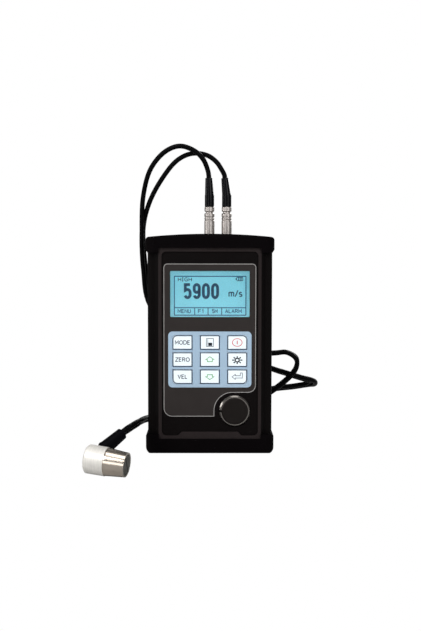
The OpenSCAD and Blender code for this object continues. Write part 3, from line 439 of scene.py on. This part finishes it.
# letters and figures as strokes in a box one high, each with its width
LETTER_GAP = 0.26
STROKES = {
    "M": (0.72, [[(0, 0), (0, 1), (0.36, 0.3), (0.72, 1), (0.72, 0)]]),
    "O": (0.78, [arc(0.39, 0.5, 0.39, 0.5, 90, 450, 25)]),
    "D": (0.66, [np.vstack([[(0, 0), (0, 1), (0.26, 1)], arc(0.26, 0.5, 0.4, 0.5, 80, -80, 11),
                            [(0.26, 0), (0, 0)]])]),
    "E": (0.5, [[(0.5, 1), (0, 1), (0, 0), (0.5, 0)], [(0, 0.52), (0.44, 0.52)]]),
    "Z": (0.58, [[(0, 1), (0.58, 1), (0, 0), (0.58, 0)]]),
    "R": (0.6, [np.vstack([[(0, 0), (0, 1), (0.32, 1)], arc(0.32, 0.76, 0.26, 0.24, 80, -80, 9),
                           [(0.32, 0.52), (0, 0.52)]]),
                [(0.3, 0.52), (0.6, 0)]]),
    "V": (0.66, [[(0, 1), (0.33, 0), (0.66, 1)]]),
    "L": (0.46, [[(0, 1), (0, 0), (0.46, 0)]]),
    "H": (0.58, [[(0, 0), (0, 1)], [(0.58, 0), (0.58, 1)], [(0, 0.5), (0.58, 0.5)]]),
    "I": (0.3, [[(0.15, 0), (0.15, 1)], [(0, 1), (0.3, 1)], [(0, 0), (0.3, 0)]]),
    "G": (0.66, [np.vstack([arc(0.35, 0.5, 0.35, 0.5, 45, 315, 17),
                            [(0.64, 0.16), (0.64, 0.46), (0.38, 0.46)]])]),
    "N": (0.58, [[(0, 0), (0, 1), (0.58, 0), (0.58, 1)]]),
    "U": (0.58, [np.vstack([[(0, 1)], arc(0.29, 0.29, 0.29, 0.29, 180, 360, 11), [(0.58, 1)]])]),
    "F": (0.5, [[(0, 0), (0, 1), (0.5, 1)], [(0, 0.52), (0.42, 0.52)]]),
    "A": (0.62, [[(0, 0), (0.31, 1), (0.62, 0)], [(0.11, 0.34), (0.51, 0.34)]]),
    "1": (0.3, [[(0, 0.78), (0.18, 1), (0.18, 0)]]),
    "5": (0.56, [np.vstack([[(0.52, 1), (0.05, 1), (0.05, 0.55)], arc(0.28, 0.38, 0.26, 0.24, 110, 0, 9),
                            arc(0.28, 0.25, 0.26, 0.25, 0, -160, 11)])]),
    "9": (0.56, [np.vstack([arc(0.28, 0.76, 0.26, 0.24, 0, 180, 13),
                            arc(0.28, 0.64, 0.26, 0.24, 180, 360, 13),
                            [(0.54, 0.76)]]),
                 np.vstack([[(0.54, 0.7)], arc(0.28, 0.25, 0.26, 0.25, 0, -160, 11)])]),
    "0": (0.56, [np.vstack([arc(0.28, 0.7, 0.26, 0.3, 0, 180, 13), arc(0.28, 0.3, 0.26, 0.3, 180, 360, 13),
                            [(0.54, 0.7)]])]),
    "/": (0.5, [[(0, -0.05), (0.5, 1.05)]]),
    "m": (0.86, [[(0, 0), (0, 0.72)], np.vstack([arc(0.215, 0.5, 0.215, 0.22, 170, 10, 9), [(0.43, 0)]]),
                 np.vstack([arc(0.645, 0.5, 0.215, 0.22, 170, 10, 9), [(0.86, 0)]])]),
    "s": (0.46, [np.vstack([arc(0.23, 0.54, 0.21, 0.18, 30, 260, 11),
                            arc(0.23, 0.18, 0.23, 0.18, 80, -150, 11)])]),
}


def word(text, x0, x1, z0, z1, width):
    """Ribbons of a word whose strokes fill the given box, with even gaps between letters."""
    total = sum(STROKES[c][0] for c in text) + LETTER_GAP*(len(text) - 1)
    sx, sz = (x1 - x0 - width)/total, z1 - z0 - width
    out, x = [], 0.0
    for c in text:
        w, lines = STROKES[c]
        for line in lines:
            p = np.array(line, float)
            closed = np.linalg.norm(p[0] - p[-1]) < 1e-6
            q = np.column_stack([x0 + width/2 + (x + p[:, 0])*sx, z0 + width/2 + p[:, 1]*sz])
            out.append(ribbon(q[:-1] if closed else q, width, closed))
        x += w + LETTER_GAP
    return out


# the overlay's printed field: a charcoal area with a fine light border that swings round the test block
FIELD = dict(left=-27.5, right=27.4, top=114.0, bottom=22.5, foot=2.5, hip=25.8, swing=11.1, step=37.0)
TOP_R, FOOT_R, STEP_R = 2.1, 4.8, 4.2
BORDER_W = 0.36


def field_path():
    """Closed border of the field, anticlockwise from its lower left corner."""
    f = FIELD
    return np.vstack([
        [(f["left"] + FOOT_R, f["bottom"]), (f["foot"], f["bottom"])],
        arc(f["foot"] + f["swing"], f["hip"], f["swing"], f["step"] - f["hip"], 180, 90, 20),
        arc(f["right"] - STEP_R, f["step"] + STEP_R, STEP_R, STEP_R, -90, 0, 10),
        arc(f["right"] - TOP_R, f["top"] - TOP_R, TOP_R, TOP_R, 0, 90, 8),
        arc(f["left"] + TOP_R, f["top"] - TOP_R, TOP_R, TOP_R, 90, 180, 8),
        arc(f["left"] + FOOT_R, f["bottom"] + FOOT_R, FOOT_R, FOOT_R, 180, 269, 10)])


def field_edges(z):
    """Left and right edge of the field at each height z: straight sides, and circles at corners and swing."""
    f = FIELD
    left, right = np.full_like(z, f["left"]), np.full_like(z, f["right"])

    def corner(d, r):
        return r - np.sqrt(np.maximum(r*r - np.clip(r - d, 0, r)**2, 0))
    left += np.maximum(corner(z - f["bottom"], FOOT_R), corner(f["top"] - z, TOP_R))
    right -= np.maximum(corner(np.maximum(z - f["step"], 0), STEP_R), corner(f["top"] - z, TOP_R))
    s = np.clip((z - f["hip"])/(f["step"] - f["hip"]), 0, 1)
    swing = f["foot"] + f["swing"]*(1 - np.sqrt(1 - s*s))
    return left, np.where(z < f["step"] - 1e-6, swing, right)


def field_parts():
    """The field in level bands, parted where the display opening and the keypad panel lie."""
    f, parts = FIELD, []

    def band(z0, z1, hole=None):
        z = np.linspace(z0, z1, 40)
        left, right = field_edges(z)
        cuts = [(left, right)] if hole is None else [(left, -hole(z)), (hole(z), right)]
        parts.extend((np.column_stack([b, z]), np.column_stack([a, z])) for a, b in cuts)

    def pad_half(z):
        d = np.minimum(z - PAD[2], PAD[3] - z)
        return PAD[1] + 0.05 - PAD_R + np.sqrt(np.maximum(PAD_R**2 - np.clip(PAD_R - d, 0, PAD_R)**2, 0))
    band(f["bottom"], f["step"] - 2e-6)
    band(f["step"], PAD[2])
    band(PAD[2], PAD[3], pad_half)
    band(PAD[3], DISPLAY[2])
    band(DISPLAY[2], DISPLAY[3], lambda z: np.full_like(z, DISPLAY[1]))
    band(DISPLAY[3], f["top"])
    return parts


add_sheet("print_field", field_parts(), OVERLAY_Y - PRINT, ink_charcoal, GAUGE)
add_sheet("print_border", [ribbon(field_path(), BORDER_W, True)], OVERLAY_Y - 2*PRINT, ink_grey, GAUGE)

# the display's reading, in mm
LCD = GLASS_Y - PRINT
DIGIT_X, DIGIT_W, DIGIT_PITCH = -15.9, 5.0, 5.5
READING = (-21.3, 21.6, 83.3, 106.6)           # the frame round it: left, right, bottom, top
MENU_Z = 87.8                                  # the line over the menu
BATTERY_Z = 105.0
LINE_W, CELL_W, TEXT_W = 0.6, 0.55, 0.48
digits = []
for k, c in enumerate("5900"):
    x = DIGIT_X + k*DIGIT_PITCH
    digits += word(c, x, x + DIGIT_W, 93.0, 102.5, 1.7)
add_sheet("reading_figures", digits, LCD, lcd_dark, GAUGE)
small = word("m/s", 11.1, 19.5, 94.2, 98.4, 0.7) + word("HIGH", -19.2, -10.8, 103.5, 106.0, 0.42)
small += [ribbon(rounded(16.1, 19.7, BATTERY_Z - 1.0, BATTERY_Z + 1.0, (0.3,)*4), 0.4, True),
          ribbon([(15.4, BATTERY_Z), (16.0, BATTERY_Z)], 0.9)]
small += [ribbon([(x, BATTERY_Z - 0.8), (x, BATTERY_Z + 0.8)], 0.7) for x in (17.3, 18.6)]
add_sheet("reading_small", small, LCD, lcd_dark, GAUGE)
lines = [ribbon(rounded(*READING, (0.1,)*4), LINE_W, True),
         ribbon([(READING[0], MENU_Z), (READING[1], MENU_Z)], LINE_W)]
lines += [ribbon([(x, READING[2]), (x, MENU_Z)], CELL_W) for x in (-9.1, -1.1, 7.1)]
for text, x0, x1 in (("MENU", -19.4, -11.4), ("F1", -7.2, -3.5), ("5M", 1.2, 4.7), ("ALARM", 9.1, 19.2)):
    lines += word(text, x0, x1, 84.5, 87.0, TEXT_W)
add_sheet("reading_menu", lines, LCD, lcd_line, GAUGE)


# key borders and legends, in mm about the middle of the key
LEGEND_HALF, LEGEND_W = 1.35, 0.46             # half height and stroke of the words
BORDER_HALF = 0.24                             # half width of a key's border
SUN_Z = -0.3


def legend(text, half):
    """A word on a key, as wide as twice half."""
    return word(text, -half, half, -LEGEND_HALF, LEGEND_HALF, LEGEND_W)


def arrow(s):
    """House-shaped arrow outline, pointing up for s = 1 and down for s = -1."""
    p = np.array([(0, 1.7), (2.5, 0.05), (1.5, 0.05), (1.5, -1.2), (-1.5, -1.2), (-1.5, 0.05), (-2.5, 0.05)])
    return [ribbon(p*np.array([1, s]), 0.48, True)]


def sun():
    """A ring with eight rays."""
    rays = [[(1.8*math.cos(a), 1.5*math.sin(a) + SUN_Z), (3.1*math.cos(a), 2.4*math.sin(a) + SUN_Z)]
            for a in np.radians(np.arange(0, 360, 45))]
    return [ribbon(arc(0, SUN_Z, 1.25, 1.1, 0, 345, 24), 0.75, True)] + [ribbon(r, 0.75) for r in rays]


def enter():
    """Outlined return arrow: head to the left, shaft, and hook up at the right."""
    return [ribbon([(-3.1, -0.1), (-1.1, 1.4), (-1.1, 0.6), (1.9, 0.6), (1.9, 2.25), (3.1, 2.25), (3.1, -0.8),
                    (-1.1, -0.8), (-1.1, -1.6)], 0.42, True)]


def card():
    """Outlined storage card with a line along its left side."""
    return [ribbon(rounded(-2.1, 2.1, -2.4, 2.4, (0.2,)*4), 0.36, True),
            ribbon([(-1.25, -2.2), (-1.25, 2.2)], 0.3)]


def power():
    """A flat ring round an upright stroke."""
    return [ribbon(arc(0, 0, 2.9, 2.3, 0, 350, 36), 0.5, True), ribbon([(0, -1.1), (0, 1.2)], 0.6)]


LEGENDS = {
    "key_mode": [(ink_legend, legend("MODE", 4.55))],
    "key_save": [(ink_legend, card()), (ink_black, [ribbon([(-0.9, -1.1), (1.4, -1.1)], 1.9)])],
    "key_power": [(ink_red, power())],
    "key_zero": [(ink_legend, legend("ZERO", 4.4))],
    "key_up": [(ink_green, arrow(1))],
    "key_light": [(ink_black, sun())],
    "key_velocity": [(ink_legend, legend("VEL", 2.95))],
    "key_down": [(ink_green, arrow(-1))],
    "key_enter": [(ink_pale, enter())]}
for key, (cx, cz) in KEYS.items():
    x, z = cx*PITCH_X, PAD_Z + cz*PITCH_Z
    half_w, half_h = KEY_W/2 - BORDER_HALF, KEY_H/2 - BORDER_HALF
    radii = [KEY_R if (cx, cz) == c else 0.0 for c in ((1, -1), (1, 1), (-1, 1), (-1, -1))]
    border = rounded(x - half_w, x + half_w, z - half_h, z + half_h, radii)
    add_sheet(key + "_border", [ribbon(border, 2*BORDER_HALF, True)], KEY_Y - PRINT, ink_navy, key)
    for k, (ink, parts) in enumerate(LEGENDS[key]):
        moved = [(a + (x, z), b + (x, z)) for a, b in parts]
        add_sheet(f"{key}_legend_{k}", moved, KEY_Y - PRINT, ink, key)


# painted shade: flat dark crosses on the two screws that hold the battery cover stand in for the shade in
# their cross recesses; they face +Y
low, high = (np.array(v)/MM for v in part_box("cover_screws"))
SCREW_R, CROSS, CROSS_W = 2.2, 1.25, 0.6       # head, half length of the recess and its width, in mm
cross = []
for z in (low[2] + SCREW_R, high[2] - SCREW_R):
    x = (low[0] + high[0])/2
    for a, b in (ribbon([(x - CROSS, z), (x + CROSS, z)], CROSS_W),
                 ribbon([(x, z - CROSS), (x, z + CROSS)], CROSS_W)):
        cross.append((b, a))
add_sheet("cover_screw_recess_painted_shade", cross, high[1] + PRINT, tray_black, GAUGE)


# studio, in m
FLOOR_BACK, FLOOR_R, FLOOR_REACH = 1.2, 0.5, 4.0
FLOOR_GREY = (0.55, 0.55, 0.55, 1)             # as light and reflections meet it; the camera sees it white
WHITE = (1, 1, 1, 1)
WORLD_LIGHT = 0.28
# what the lights are aimed at
MIDDLE, RING, PROBE = (0.0, 0.0, 0.08), (0.015, -0.016, 0.028), (-0.056, -0.07, 0.01)


def add_floor():
    """Pale ground that rises behind the object in one sweep: level, a quarter circle, then upright."""
    t = np.linspace(0, math.pi/2, 24)
    bend = np.column_stack([FLOOR_BACK + FLOOR_R*np.sin(t), FLOOR_R - FLOOR_R*np.cos(t)])
    line = np.vstack([[(-FLOOR_REACH, 0.0)], bend, [(FLOOR_BACK + FLOOR_R, FLOOR_REACH)]])
    verts = [(x, y, z) for y, z in line for x in (-FLOOR_REACH, FLOOR_REACH)]
    faces = [(2*i, 2*i + 1, 2*i + 3, 2*i + 2) for i in range(len(line) - 1)]
    data = bpy.data.meshes.new("ground")
    data.from_pydata(verts, [], faces)
    data.shade_smooth()
    m = bpy.data.materials.new("ground_white")
    m.use_nodes = True
    n, link = m.node_tree.nodes, m.node_tree.links.new
    lit, seen = n["Principled BSDF"], n.new("ShaderNodeEmission")
    lit.inputs["Base Color"].default_value = FLOOR_GREY
    lit.inputs["Roughness"].default_value = 0.9
    lit.inputs["Specular IOR Level"].default_value = 0.0
    seen.inputs["Color"].default_value = WHITE
    mix, ray = n.new("ShaderNodeMixShader"), n.new("ShaderNodeLightPath")
    link(ray.outputs["Is Camera Ray"], mix.inputs["Fac"])
    link(lit.outputs["BSDF"], mix.inputs[1])
    link(seen.outputs["Emission"], mix.inputs[2])
    link(mix.outputs["Shader"], n["Material Output"].inputs["Surface"])
    data.materials.append(m)
    ground = bpy.data.objects.new("ground", data)
    bpy.context.scene.collection.objects.link(ground)


def add_light(name, at, aim, size, power):
    """Square soft light at a place, turned to face another."""
    data = bpy.data.lights.new(name, "AREA")
    data.size, data.energy = size, power
    light = bpy.data.objects.new(name, data)
    z = unit(np.array(at) - np.array(aim))
    x = unit(np.cross([0, 0, 1], z))
    y = np.cross(z, x)
    light.matrix_world = Matrix([[x[i], y[i], z[i], at[i]] for i in range(3)] + [[0, 0, 0, 1]])
    bpy.context.scene.collection.objects.link(light)
    return light


add_floor()
add_light("key_light_left", (-0.8, -1.0, 1.1), MIDDLE, 0.7, 17.5)
add_light("fill_light_right", (0.8, -1.1, 0.6), MIDDLE, 0.8, 8.0)
add_light("rim_light_top", (0.1, 0.6, 1.3), MIDDLE, 0.7, 8.0).visible_glossy = False
add_light("low_light_left", (-0.62, -1.25, 0.24), PROBE, 0.4, 1.6)
add_light("side_light_left", (-1.25, -0.25, 0.44), RING, 0.42, 5.0).visible_diffuse = False
add_light("top_light", (0.05, -0.3, 1.25), RING, 0.7, 5.0).visible_diffuse = False
add_light("back_light_right", (0.7, 1.2, 0.7), MIDDLE, 0.8, 16.0)
world = bpy.data.worlds.new("studio")
bpy.context.scene.world = world
world.use_nodes = True
wn, wlink = world.node_tree.nodes, world.node_tree.links.new
seen = wn.new("ShaderNodeLightPath").outputs["Is Camera Ray"]
strength = wn.new("ShaderNodeMapRange")
strength.inputs["To Min"].default_value, strength.inputs["To Max"].default_value = WORLD_LIGHT, 1.0
wlink(seen, strength.inputs["Value"])
wn["Background"].inputs["Color"].default_value = WHITE
wlink(strength.outputs["Result"], wn["Background"].inputs["Strength"])
bpy.context.scene.view_settings.view_transform = "Standard"
